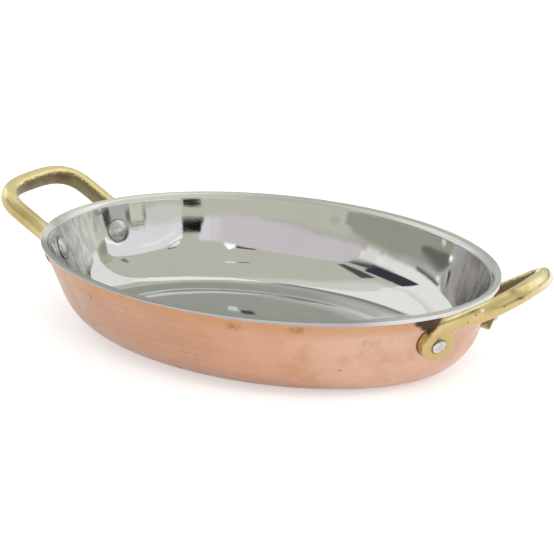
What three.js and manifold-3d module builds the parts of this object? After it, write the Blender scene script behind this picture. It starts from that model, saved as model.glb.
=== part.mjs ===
import * as THREE from 'three';
import { mergeVertices } from 'three/addons/utils/BufferGeometryUtils.js';
import Module from 'manifold-3d';

// Small oval pan: copper shell, steel lining, two cast brass loop handles and four steel rivets.
// Millimetres, +Z up, +X along the oval, origin under the middle of the flat base.

// Oval body, measured over the outside
const rimLength = 180;
const rimWidth = 127;
const rimHeight = 33;
const wallLean = THREE.MathUtils.degToRad(20.3);
const baseSweep = 21.3;
const copperWall = 1.8;
const steelWall = 0.6;

// Steel lip that covers the top edge of the copper
const lipDrop = 1.5;
const lipOverhang = 0.8;
const lipEdgeRound = 0.6;
const lipFlare = 2.6;

// Rivets through the lining, the shell and the lugs
const rivetInset = 0.5;
const rivetHeight = 21.6;
const headDiameter = 8.6;
const headRise = 1.5;
const shankDiameter = 4;
const tailDiameter = 5;
const tailRise = 1.1;
const tailBevel = 0.4;

// Cast handles: round lugs against the wall, and a bar that loops out and up between them
const lugDiameter = 12.6;
const lugThickness = 3;
const lugBevel = 0.5;
const armSpread = 37.8;
const armInset = 6.6;
const armLift = 6.1;
const loopReach = 19.5;
const loopRise = 8.3;
const bendReach = 12.5;
const armWidth = 5.1;
const armDepth = 5.3;
const barWidth = 5.7;
const barDepth = 6.4;

// Clearances
const bondGap = 0.1;
const seatGap = 0.3;
const cutOverrun = 5;

// Facets
const ovalSegments = 64;
const sweepSteps = 6;
const roundSteps = 3;
const roundSegments = 20;
const barSteps = 46;
const barSides = 14;
const barSquareness = 2.4;
const bendSteps = 60;
const bendSquareness = 2.6;

// Sizes that follow
const halfLength = rimLength / 2;
const halfWidth = rimWidth / 2;
const lipUnderside = rimHeight - lipDrop;
const liningDepth = copperWall + bondGap;
const wallDepth = liningDepth + steelWall;
const sweepTop = baseSweep * (1 - Math.sin(wallLean));
const wallRun = (lipUnderside - sweepTop) * Math.tan(wallLean);
const sweepInset = lipOverhang + wallRun + baseSweep * Math.cos(wallLean);
const endRadius = halfWidth ** 2 / halfLength;
const headSeat = wallDepth + seatGap + (headDiameter / 2) ** 2 / endRadius / 2;
const lugFace = seatGap + lugThickness;
const rivetPlace = Math.asin((armSpread / 2 - rivetInset) / halfWidth);
const armStart = halfLength - armInset;
const armStartHeight = rivetHeight + armLift;
const barReach = halfLength + loopReach;
const barHeight = rimHeight + loopRise;
const armSlope = (barHeight - armStartHeight) / (barReach - armStart);

const copper = new THREE.MeshStandardMaterial({ color: 0xcf9a76, roughness: 0.38, metalness: 1 });
const steel = new THREE.MeshStandardMaterial({ color: 0xb9bab4, roughness: 0.12, metalness: 1 });
const brass = new THREE.MeshStandardMaterial({ color: 0xd3b25c, roughness: 0.32, metalness: 1 });
const rivetSteel = new THREE.MeshStandardMaterial({ color: 0xb4b6b6, roughness: 0.3, metalness: 1 });

const wasm = await Module();
wasm.setup();

// Point of the oval at a place round it, moved inwards by the inset
function ovalPoint(place, inset, height) {
  const onRim = new THREE.Vector2(halfLength * Math.cos(place), halfWidth * Math.sin(place));
  const out = ovalNormal(place);
  return new THREE.Vector3(onRim.x - inset * out.x, onRim.y - inset * out.y, height);
}

function ovalNormal(place) {
  return new THREE.Vector2(Math.cos(place) / halfLength, Math.sin(place) / halfWidth).normalize();
}

function ovalRing(inset, height) {
  const ring = [];
  for (let i = 0; i < ovalSegments; i++) {
    ring.push(ovalPoint((i / ovalSegments) * 2 * Math.PI, inset, height));
  }
  return ring;
}

// Closed skin through a list of rings of points, with its first and last ring filled to the middle
function ringSolid(rings) {
  const count = rings[0].length;
  const middles = [rings[0], rings.at(-1)].map((ring) => {
    const sum = ring.reduce((total, point) => total.add(point), new THREE.Vector3());
    return sum.divideScalar(count);
  });
  const points = [...rings.flat(), ...middles];
  const firstMiddle = points.length - 2;
  const lastMiddle = points.length - 1;
  const lastRing = (rings.length - 1) * count;
  const faces = [];
  for (let i = 0; i < count; i++) {
    const next = (i + 1) % count;
    faces.push(firstMiddle, next, i);
    faces.push(lastMiddle, lastRing + i, lastRing + next);
    for (let ring = 0; ring < lastRing; ring += count) {
      faces.push(ring + i, ring + next, ring + count + i);
      faces.push(ring + next, ring + count + next, ring + count + i);
    }
  }
  const geometry = new THREE.BufferGeometry().setFromPoints(points);
  geometry.setIndex(faces);
  return geometry;
}

// Section points are pairs of inset from the rim and height
function ovalSolid(section) {
  return ringSolid(section.map((point) => ovalRing(point.x, point.y)));
}

function wallInset(height, depth) {
  return lipOverhang + (lipUnderside - height) * Math.tan(wallLean) + depth / Math.cos(wallLean);
}

// Section line a given depth inside the outer face: round the sweep from the base, then up the wall
function bodyLine(depth, top) {
  const line = [];
  const radius = baseSweep - depth;
  for (let i = 0; i <= sweepSteps; i++) {
    const angle = THREE.MathUtils.lerp(Math.PI / 2, wallLean, i / sweepSteps);
    line.push(new THREE.Vector2(sweepInset - radius * Math.cos(angle), baseSweep - radius * Math.sin(angle)));
  }
  line.push(new THREE.Vector2(wallInset(top, depth), top));
  return line;
}

function arcPoints(middle, radius, from, to) {
  const points = [];
  for (let i = 0; i <= roundSteps; i++) {
    const angle = THREE.MathUtils.lerp(from, to, i / roundSteps);
    points.push(new THREE.Vector2(middle.x + radius * Math.cos(angle), middle.y + radius * Math.sin(angle)));
  }
  return points;
}

function shellGeometry() {
  const top = lipUnderside - bondGap;
  return ovalSolid([...bodyLine(0, top), ...bodyLine(copperWall, top).reverse()]);
}

function liningGeometry() {
  const edgeMiddle = new THREE.Vector2(lipEdgeRound, rimHeight - lipEdgeRound);
  const flareHeight = rimHeight - lipFlare;
  const flareInset = wallInset(flareHeight, wallDepth) - lipFlare / Math.cos(wallLean);
  const flareMiddle = new THREE.Vector2(flareInset, flareHeight);
  return ovalSolid([
    ...bodyLine(liningDepth, lipUnderside),
    new THREE.Vector2(0, lipUnderside),
    ...arcPoints(edgeMiddle, lipEdgeRound, Math.PI, Math.PI / 2),
    ...arcPoints(flareMiddle, lipFlare, Math.PI / 2, wallLean),
    ...bodyLine(wallDepth, flareHeight).slice(0, -1).reverse(),
  ]);
}

// Outside of the body with the seat gap round it, used to fit the handles to the wall and the lip
function clearanceGeometry() {
  const ledge = lipUnderside - seatGap;
  return ovalSolid([
    ...bodyLine(-seatGap, ledge),
    new THREE.Vector2(-seatGap, ledge),
    new THREE.Vector2(-seatGap, rimHeight + seatGap),
  ]);
}

// Frame of a rivet: origin on the outer face of the wall, Y axis square out of it
function rivetFrame(alongX, alongY) {
  const onWall = ovalPoint(rivetPlace, wallInset(rivetHeight, 0), rivetHeight);
  const flat = ovalNormal(rivetPlace);
  const out = new THREE.Vector3(alongX * flat.x, alongY * flat.y, -Math.tan(wallLean)).normalize();
  const level = new THREE.Vector3(-out.y, out.x, 0).normalize();
  const frame = new THREE.Matrix4().makeBasis(level, out, level.clone().cross(out));
  return frame.setPosition(alongX * onWall.x, alongY * onWall.y, onWall.z);
}

function asSolid(geometry) {
  const plain = geometry.clone();
  plain.deleteAttribute('normal');
  plain.deleteAttribute('uv');
  const merged = mergeVertices(plain);
  const corners = merged.index.array;
  const kept = [];
  for (let i = 0; i < corners.length; i += 3) {
    const [a, b, c] = corners.slice(i, i + 3);
    if (a !== b && b !== c && c !== a) kept.push(a, b, c);
  }
  const mesh = new wasm.Mesh({
    numProp: 3,
    vertProperties: merged.attributes.position.array,
    triVerts: Uint32Array.from(kept),
  });
  return new wasm.Manifold(mesh);
}

function asGeometry(solid) {
  const mesh = solid.getMesh();
  const geometry = new THREE.BufferGeometry();
  geometry.setAttribute('position', new THREE.BufferAttribute(mesh.vertProperties, mesh.numProp));
  geometry.setIndex(new THREE.BufferAttribute(mesh.triVerts, 1));
  return geometry;
}

function rivetHole(alongX, alongY) {
  const radius = shankDiameter / 2 + seatGap;
  const reach = wallDepth + lugFace + cutOverrun;
  const hole = new THREE.CylinderGeometry(radius, radius, reach * 2, roundSegments);
  return asSolid(hole.applyMatrix4(rivetFrame(alongX, alongY)));
}

function drilled(solid, sidesX) {
  let result = solid;
  for (const alongX of sidesX) {
    for (const alongY of [-1, 1]) result = result.subtract(rivetHole(alongX, alongY));
  }
  return result;
}

function lugSolid(alongY) {
  const radius = lugDiameter / 2;
  const section = [
    new THREE.Vector2(0, -wallDepth),
    new THREE.Vector2(radius, -wallDepth),
    new THREE.Vector2(radius, lugFace - lugBevel),
    new THREE.Vector2(radius - lugBevel, lugFace),
    new THREE.Vector2(0, lugFace),
  ];
  const lug = new THREE.LatheGeometry(section, roundSegments);
  return asSolid(lug.applyMatrix4(rivetFrame(1, alongY)));
}

// Loop of the handle seen from above: out along one arm, round the end in one full curve and back
function loopPlan() {
  const bend = barReach - bendReach;
  const plan = new THREE.Path();
  plan.moveTo(armStart, -armSpread / 2);
  for (let i = 0; i <= bendSteps; i++) {
    const angle = THREE.MathUtils.lerp(-Math.PI / 2, Math.PI / 2, i / bendSteps);
    const out = bendReach * softCorner(Math.cos(angle), bendSquareness);
    const across = (armSpread / 2) * softCorner(Math.sin(angle), bendSquareness);
    plan.lineTo(bend + out, across);
  }
  plan.lineTo(armStart, armSpread / 2);
  return plan.getSpacedPoints(barSteps);
}

function barRing(plan, i) {
  const before = plan[Math.max(i - 1, 0)];
  const after = plan[Math.min(i + 1, plan.length - 1)];
  const { x, y } = plan[i];
  const step = after.x - before.x;
  const run = new THREE.Vector3(step, after.y - before.y, step * armSlope).normalize();
  const side = new THREE.Vector3(-armSlope, 0, 1).cross(run).normalize();
  const up = run.clone().cross(side);
  const share = (x - armStart) / (barReach - armStart);
  const middle = new THREE.Vector3(x, y, THREE.MathUtils.lerp(armStartHeight, barHeight, share));
  const width = THREE.MathUtils.lerp(armWidth, barWidth, share) / 2;
  const depth = THREE.MathUtils.lerp(armDepth, barDepth, share) / 2;
  const ring = [];
  for (let corner = 0; corner < barSides; corner++) {
    const angle = (corner / barSides) * 2 * Math.PI;
    const across = side.clone().multiplyScalar(width * softCorner(Math.cos(angle), barSquareness));
    const along = up.clone().multiplyScalar(depth * softCorner(Math.sin(angle), barSquareness));
    ring.push(middle.clone().add(across).add(along));
  }
  return ring;
}

// Sine or cosine bent so that a circle becomes a rounder or squarer closed curve
function softCorner(value, squareness) {
  return Math.sign(value) * Math.abs(value) ** (2 / squareness);
}

function handleGeometry() {
  const plan = loopPlan();
  const bar = asSolid(ringSolid(plan.map((point, i) => barRing(plan, i))));
  const casting = bar.add(lugSolid(-1)).add(lugSolid(1)).subtract(asSolid(clearanceGeometry()));
  return asGeometry(drilled(casting, [1]));
}

function rivetGeometry() {
  const headRadius = headDiameter / 2;
  const domeRadius = (headRadius ** 2 + headRise ** 2) / headRise / 2;
  const domeAngle = Math.asin(headRadius / domeRadius);
  const domeMiddle = new THREE.Vector2(0, domeRadius - headSeat - headRise);
  const tailSeat = lugFace + seatGap;
  const section = [
    ...arcPoints(domeMiddle, domeRadius, -Math.PI / 2, domeAngle - Math.PI / 2),
    new THREE.Vector2(shankDiameter / 2, -headSeat),
    new THREE.Vector2(shankDiameter / 2, tailSeat),
    new THREE.Vector2(tailDiameter / 2, tailSeat),
    new THREE.Vector2(tailDiameter / 2, tailSeat + tailRise - tailBevel),
    new THREE.Vector2(tailDiameter / 2 - tailBevel, tailSeat + tailRise),
    new THREE.Vector2(0, tailSeat + tailRise),
  ];
  return new THREE.LatheGeometry(section, roundSegments);
}

function named(name, geometry, material) {
  const mesh = new THREE.Mesh(geometry, material);
  mesh.name = name;
  return mesh;
}

function buildPan() {
  const pan = new THREE.Group();
  pan.add(named('copper_shell', asGeometry(drilled(asSolid(shellGeometry()), [-1, 1])), copper));
  pan.add(named('steel_lining', asGeometry(drilled(asSolid(liningGeometry()), [-1, 1])), steel));
  const sides = [{ name: 'left', alongX: -1 }, { name: 'right', alongX: 1 }];
  const places = [{ name: 'front', alongY: -1 }, { name: 'back', alongY: 1 }];
  for (const side of sides) {
    const handle = named(`handle_${side.name}`, handleGeometry(), brass);
    handle.rotation.z = side.alongX > 0 ? 0 : Math.PI;
    pan.add(handle);
    for (const place of places) {
      const rivet = named(`rivet_${side.name}_${place.name}`, rivetGeometry(), rivetSteel);
      rivetFrame(side.alongX, place.alongY).decompose(rivet.position, rivet.quaternion, rivet.scale);
      pan.add(rivet);
    }
  }
  return pan;
}

export default buildPan();
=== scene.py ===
import math
import bpy
from mathutils import Matrix, Vector, geometry, noise


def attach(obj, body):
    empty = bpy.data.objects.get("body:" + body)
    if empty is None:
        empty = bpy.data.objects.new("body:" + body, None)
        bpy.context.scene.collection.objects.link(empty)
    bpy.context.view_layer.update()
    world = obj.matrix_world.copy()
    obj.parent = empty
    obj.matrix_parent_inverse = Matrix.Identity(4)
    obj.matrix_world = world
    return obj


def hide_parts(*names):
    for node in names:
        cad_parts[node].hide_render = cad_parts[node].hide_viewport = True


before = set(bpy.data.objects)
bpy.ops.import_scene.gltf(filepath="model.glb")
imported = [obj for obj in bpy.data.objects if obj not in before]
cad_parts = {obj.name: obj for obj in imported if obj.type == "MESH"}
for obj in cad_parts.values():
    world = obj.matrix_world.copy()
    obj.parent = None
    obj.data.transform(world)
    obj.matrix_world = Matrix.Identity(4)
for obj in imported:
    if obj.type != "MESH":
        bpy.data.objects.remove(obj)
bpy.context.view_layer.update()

# Sizes of the solids in millimetres, origin under the middle of the base
HALF_LENGTH = 90
HALF_WIDTH = 63.5
RIM_HEIGHT = 33
LEAN = math.radians(20.3)
SWEEP = 21.3
COPPER_WALL = 1.8
STEEL_WALL = 0.6
LIP_DROP = 1.5
LIP_OVERHANG = 0.8
LIP_FLARE = 2.6
RIVET_HEIGHT = 21.6
RIVET_INSET = 0.5
ARM_SPREAD = 37.8
ARM_INSET = 6.6
ARM_LIFT = 6.1
LOOP_REACH = 19.5
LOOP_RISE = 8.3
BEND_REACH = 12.5
BAR_SQUARENESS = 2.4
ARM_WIDTH = 5.1
ARM_DEPTH = 5.3
BAR_WIDTH = 5.7
BAR_DEPTH = 6.4
LUG_FACE = 3.3
HEAD_RADIUS = 4.1
HEAD_RISE = 1.5
SHANK_RADIUS = 2
TAIL_RADIUS = 2.5
TAIL_RISE = 1.1
BOND = 0.1

LIP_UNDER = RIM_HEIGHT - LIP_DROP
LINING_DEPTH = COPPER_WALL + BOND
WALL_DEPTH = LINING_DEPTH + STEEL_WALL
SWEEP_TOP = SWEEP * (1 - math.sin(LEAN))
SWEEP_INSET = LIP_OVERHANG + (LIP_UNDER - SWEEP_TOP) * math.tan(LEAN) + SWEEP * math.cos(LEAN)
ARM_START = HALF_LENGTH - ARM_INSET
ARM_LOW = RIVET_HEIGHT + ARM_LIFT
BAR_REACH = HALF_LENGTH + LOOP_REACH
BAR_HIGH = RIM_HEIGHT + LOOP_RISE
LOOP_SLOPE = (BAR_HIGH - ARM_LOW) / (BAR_REACH - ARM_START)
LOOP_MIDDLE = 93.5
MILLIMETRE = 0.001
CORNERS = ((-1, -1), (1, -1), (-1, 1), (1, 1))

# Small differences left by casting and fitting by hand: the two loops sit a little askew, and no
# two rivets are quite alike. Angles in degrees, the rest in millimetres; the spread is added to
# each side of a loop, the swell is the thickness of its roots and of its bar against the drawing.
MOUNTS = {
    "right": {"roll": 2.3, "yaw": 1.5, "tilt": 0.4, "shift": (-0.35, -0.45, -0.5), "spread": 0,
              "squareness": 2.6, "swell": (0.88, 1.0)},
    "left": {"roll": 0.8, "yaw": 0.1, "tilt": -0.75, "shift": (-0.44, 0.1, -0.03), "spread": 0.6,
             "squareness": 3.0, "swell": (1.2, 1.09)},
}
RIVETS = {
    "left_front": {"along": (-1, -1), "spread": 1.7, "rise": 1.9, "lug": 5},
    "left_back": {"along": (-1, 1), "spread": -0.8, "rise": -0.4, "lug": 6.3},
    "right_front": {"along": (1, -1), "spread": 0.4, "rise": 0.1, "lug": 6.3},
    "right_back": {"along": (1, 1), "spread": 0, "rise": 0.7, "lug": 6.2},
}

# Steps round the oval, and from how many degrees on an edge looks sharp
ROUND = 288
BEND_SHARP = 50
RIVET_SHARP = 40


# Oval body

def oval_normal(place):
    return Vector((math.cos(place) / HALF_LENGTH, math.sin(place) / HALF_WIDTH)).normalized()


def oval_point(place, inset, height):
    out = oval_normal(place)
    x = HALF_LENGTH * math.cos(place) - inset * out.x
    y = HALF_WIDTH * math.sin(place) - inset * out.y
    return Vector((x, y, height))


def wall_inset(height, depth):
    return LIP_OVERHANG + (LIP_UNDER - height) * math.tan(LEAN) + depth / math.cos(LEAN)


def arc(middle, radius, start, end, steps):
    points = []
    for i in range(steps + 1):
        angle = start + (end - start) * i / steps
        points.append((middle[0] + radius * math.cos(angle), middle[1] + radius * math.sin(angle)))
    return points


def body_line(depth, top, sweep_steps=18, wall_steps=10):
    line = arc((SWEEP_INSET, SWEEP), depth - SWEEP, math.pi / 2, LEAN, sweep_steps)
    inset, height = line[-1]
    end = wall_inset(top, depth)
    for i in range(1, wall_steps + 1):
        share = i / wall_steps
        line.append((inset + (end - inset) * share, height + (top - height) * share))
    return line


def new_mesh(name, verts, faces):
    mesh = bpy.data.meshes.new(name)
    mesh.from_pydata(verts, [], faces)
    return mesh


def travelled(line):
    """Length along the line up to each of its points."""
    travel = [0.0]
    for before, after in zip(line, line[1:]):
        travel.append(travel[-1] + (after - before).length)
    return travel


def shrunk(ring, share):
    return [Vector((p.x * share, p.y * share, p.z)) for p in ring]


def oval_mesh(name, section, floor_rings=14, vary=None, shift=None):
    """Closed skin through the section line; its two ends are filled to the middle with rings.

    vary moves the section with the place round the oval, shift moves the finished points.
    """
    places = [math.tau * j / ROUND for j in range(ROUND)]
    first, last = ([oval_point(place, *section[end]) for place in places] for end in (0, -1))
    rings = [shrunk(first, k / floor_rings) for k in range(1, floor_rings)]
    for k, point in enumerate(section):
        rings.append([oval_point(place, *(vary(place, k, *point) if vary else point)) for place in places])
    rings += [shrunk(last, k / floor_rings) for k in range(floor_rings - 1, 0, -1)]
    verts = [p for ring in rings for p in ring]
    low, high = len(verts), len(verts) + 1
    verts += [Vector((0, 0, section[0][1])), Vector((0, 0, section[-1][1]))]
    faces = []
    end = (len(rings) - 1) * ROUND
    for j in range(ROUND):
        n = (j + 1) % ROUND
        faces.append((low, n, j))
        faces.append((high, end + j, end + n))
        for k in range(len(rings) - 1):
            a, b = k * ROUND, (k + 1) * ROUND
            faces.append((a + j, a + n, b + n, b + j))
    if shift:
        verts = [v + shift(v, i // ROUND if i < low else len(rings)) for i, v in enumerate(verts)]
    mesh = new_mesh(name, verts, faces)
    travel = travelled([ring[0] for ring in rings])
    layer = mesh.uv_layers.new(name="around")
    for poly in mesh.polygons:
        corners = [mesh.loops[i].vertex_index for i in poly.loop_indices]
        wrap = any(v < low and v % ROUND == ROUND - 1 for v in corners)
        for i, v in zip(poly.loop_indices, corners):
            if v >= low:
                layer.data[i].uv = (0.5, travel[0] if v == low else travel[-1])
                continue
            j = v % ROUND
            turn = 1.0 if wrap and j == 0 else j / ROUND
            layer.data[i].uv = (turn, travel[v // ROUND] / 100)
    return mesh


def linked(name, data):
    made = bpy.data.objects.new(name, data)
    bpy.context.collection.objects.link(made)
    return made


def finish_piece(mesh, name, node, slot, sharp=None):
    """Puts a mesh made in millimetres into the scene as the finer form of a CAD node."""
    mesh.transform(Matrix.Scale(MILLIMETRE, 4))
    mesh.polygons.foreach_set("use_smooth", [True] * len(mesh.polygons))
    if sharp is not None:
        mesh.set_sharp_from_angle(angle=math.radians(sharp))
    mesh.update()
    piece = linked(name, mesh)
    mesh.materials.clear()
    mesh.materials.append(MATERIALS[slot])
    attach(piece, "root")
    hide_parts(node)
    return piece


def baked(mesh, kind, **settings):
    """A copy of the mesh with a modifier applied."""
    holder = linked("holder", mesh)
    modifier = holder.modifiers.new(kind, kind)
    for key, value in settings.items():
        setattr(modifier, key, value)
    graph = bpy.context.evaluated_depsgraph_get()
    result = bpy.data.meshes.new_from_object(holder.evaluated_get(graph))
    bpy.data.objects.remove(holder)
    return result


# Frame of a rivet: origin on the outer face of the wall, Y axis square out of it

def rivet_frame(rivet):
    along_x, along_y = rivet["along"]
    place = math.asin((ARM_SPREAD / 2 - RIVET_INSET + rivet["spread"]) / HALF_WIDTH)
    height = RIVET_HEIGHT + rivet["rise"]
    on_wall = oval_point(place, wall_inset(height, 0), height)
    flat = oval_normal(place)
    out = Vector((along_x * flat.x, along_y * flat.y, -math.tan(LEAN))).normalized()
    level = Vector((-out.y, out.x, 0)).normalized()
    up = level.cross(out)
    turn = Matrix((level, out, up)).transposed().to_4x4()
    return Matrix.Translation((along_x * on_wall.x, along_y * on_wall.y, on_wall.z)) @ turn


# Materials

class Nodes:
    """Adds nodes to a material or world; the short calls return the socket that is used next."""

    def __init__(self, owner):
        owner.use_nodes = True
        self.tree = owner.node_tree

    def put(self, socket, value):
        if isinstance(value, bpy.types.NodeSocket):
            self.tree.links.new(value, socket)
        else:
            socket.default_value = value

    def add(self, kind, values=None, **props):
        made = self.tree.nodes.new("ShaderNode" + kind)
        for key, value in props.items():
            setattr(made, key, value)
        for key, value in (values or {}).items():
            self.put(made.inputs[key], value)
        return made

    def maths(self, operation, first, second=0.0):
        return self.add("Math", {0: first, 1: second}, operation=operation).outputs[0]

    def times(self, first, second):
        return self.maths("MULTIPLY", first, second)

    def plus(self, first, second):
        return self.maths("ADD", first, second)

    def here(self):
        """Place on the part, in metres."""
        return self.add("TexCoord").outputs["Object"]

    def square(self):
        """Direction square out of the face."""
        return self.add("TexCoord").outputs["Normal"]

    def split(self, vector):
        return self.add("SeparateXYZ", {0: vector}).outputs

    def joined(self, x, y, z):
        return self.add("CombineXYZ", {0: x, 1: y, 2: z}).outputs[0]

    def vectors(self, operation, *values):
        return self.add("VectorMath", dict(enumerate(values)), operation=operation).outputs

    def stretched(self, vector, scale):
        return self.vectors("MULTIPLY", vector, scale)[0]

    def length(self, vector):
        return self.vectors("LENGTH", vector)["Value"]

    def round_the_oval(self, turns, travels):
        """Seamless coordinates round the oval and down its section."""
        turn, travel, _ = self.split(self.add("UVMap", uv_map="around").outputs[0])
        turn = self.times(turn, math.tau)
        x = self.times(self.maths("COSINE", turn), turns)
        y = self.times(self.maths("SINE", turn), turns)
        return self.joined(x, y, self.times(travel, travels))

    def cloud(self, vector, scale, detail=3.0, roughness=0.5, distortion=0.0):
        values = {"Vector": vector, "Scale": scale, "Detail": detail, "Roughness": roughness,
                  "Distortion": distortion}
        return self.add("TexNoise", values).outputs[0]

    def dots(self, scale, edge, middle, channel, rare, common):
        """Share from 0 to 1 of scattered dots; only the cells with a high value have one."""
        cells = self.add("TexVoronoi", {"Vector": self.here(), "Scale": scale, "Randomness": 1.0}).outputs
        value = self.add("SeparateColor", {0: cells["Color"]}).outputs[channel]
        return self.times(self.ramp(cells["Distance"], edge, middle), self.ramp(value, rare, common))

    def ramp(self, value, low, high, start=0.0, end=1.0):
        values = {"Value": value, "From Min": low, "From Max": high, "To Min": start, "To Max": end}
        return self.add("MapRange", values, interpolation_type="SMOOTHSTEP").outputs[0]

    def blend(self, share, first, second):
        mix = self.add("Mix", data_type="RGBA")
        for place, value in ((0, share), (6, first), (7, second)):
            self.put(mix.inputs[place], (*value, 1) if isinstance(value, tuple) else value)
        return mix.outputs[2]

    def spot(self, place, size, turn=(0, 0, 0), soft_edge=0.5):
        """Share from 0 to 1 of a soft spot; place and size are in millimetres, turn in degrees."""
        mapping = self.add("Mapping", {
            "Vector": self.here(),
            "Location": [v * MILLIMETRE for v in place],
            "Rotation": [math.radians(v) for v in turn],
            "Scale": [v * MILLIMETRE for v in size],
        }, vector_type="TEXTURE")
        return self.ramp(self.length(mapping.outputs[0]), 1.0, soft_edge)

    def spots(self, rows):
        """The strongest of several spots; a row has its share, soft edge, place, size and perhaps turn."""
        total = None
        for share, soft_edge, *where in rows:
            one = self.times(self.spot(*where, soft_edge=soft_edge), share)
            total = one if total is None else self.maths("MAXIMUM", total, one)
        return total

    def bump(self, height, depth, normal=None):
        values = {"Height": height, "Distance": depth}
        if normal is not None:
            values["Normal"] = normal
        return self.add("Bump", values).outputs[0]


class Metal(Nodes):
    """Metal with its colour, roughness and surface from nodes; paint lays one colour over the last."""

    def __init__(self, name):
        self.material = bpy.data.materials.new(name)
        super().__init__(self.material)
        self.inputs = self.tree.nodes["Principled BSDF"].inputs
        self.inputs["Metallic"].default_value = 1.0
        self.colour = None

    def paint(self, share, colour):
        self.colour = self.blend(share, self.colour, colour)

    def finished(self, rough, normal):
        for name, value in (("Base Color", self.colour), ("Roughness", rough), ("Normal", normal)):
            self.put(self.inputs[name], value)
        return self.material


def rivet_spots(share, soft_edge, depth, size):
    """Rows for Nodes.spots: a ball on the axis of each rivet, the depth outside the copper."""
    places = [rivet_frame(rivet) @ Vector((0, depth, 0)) for rivet in RIVETS.values()]
    return [(share, soft_edge, place, (size, size, size)) for place in places]


def inside_of_loop(m):
    """How far a face of a loop looks to the loop's own middle: 1 straight at it, 0 up or outward."""
    x, y, _ = m.split(m.here())
    short = m.maths("SUBTRACT", LOOP_MIDDLE * MILLIMETRE, m.maths("ABSOLUTE", x))
    inward = m.joined(m.times(short, m.maths("SIGN", x)), m.times(y, -1.0), m.times(short, LOOP_SLOPE))
    return m.vectors("DOT_PRODUCT", m.vectors("NORMALIZE", inward)[0], m.square())["Value"]


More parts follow.
